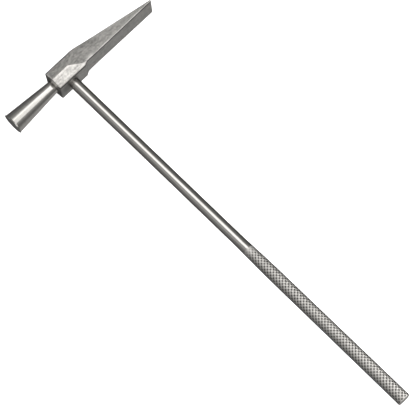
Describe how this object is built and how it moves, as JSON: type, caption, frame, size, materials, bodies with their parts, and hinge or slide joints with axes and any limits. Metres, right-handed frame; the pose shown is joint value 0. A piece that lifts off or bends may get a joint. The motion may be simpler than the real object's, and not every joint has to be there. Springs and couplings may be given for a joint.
{
  "type": "reflex hammer",
  "caption": "All-metal reflex hammer: faceted head with a turned conical striking face and a long cross peen, on a slim round shaft with a knurled grip.",
  "frame": {"origin": "centre of the grip's flat end", "axes": "+Y along the handle from the grip towards the head, +X along the head from the striking face towards the peen, +Z out of the side that faces up when the hammer lies on a table"},
  "size_m": [0.0816, 0.2117, 0.0166],
  "materials": {
    "satin_steel": "satin, fine cast grain",
    "polished_steel": "turned and polished",
    "knurled_steel": "diamond knurl, satin",
    "screw_steel": "bright screw steel"
  },
  "bodies": {
    "root": {"head_body": "satin_steel", "striking_face": "polished_steel", "shaft": "polished_steel", "knurled_grip": "knurled_steel", "head_screw": "screw_steel", "grip_grub_screw": "screw_steel"}
  },
  "joints": []
}
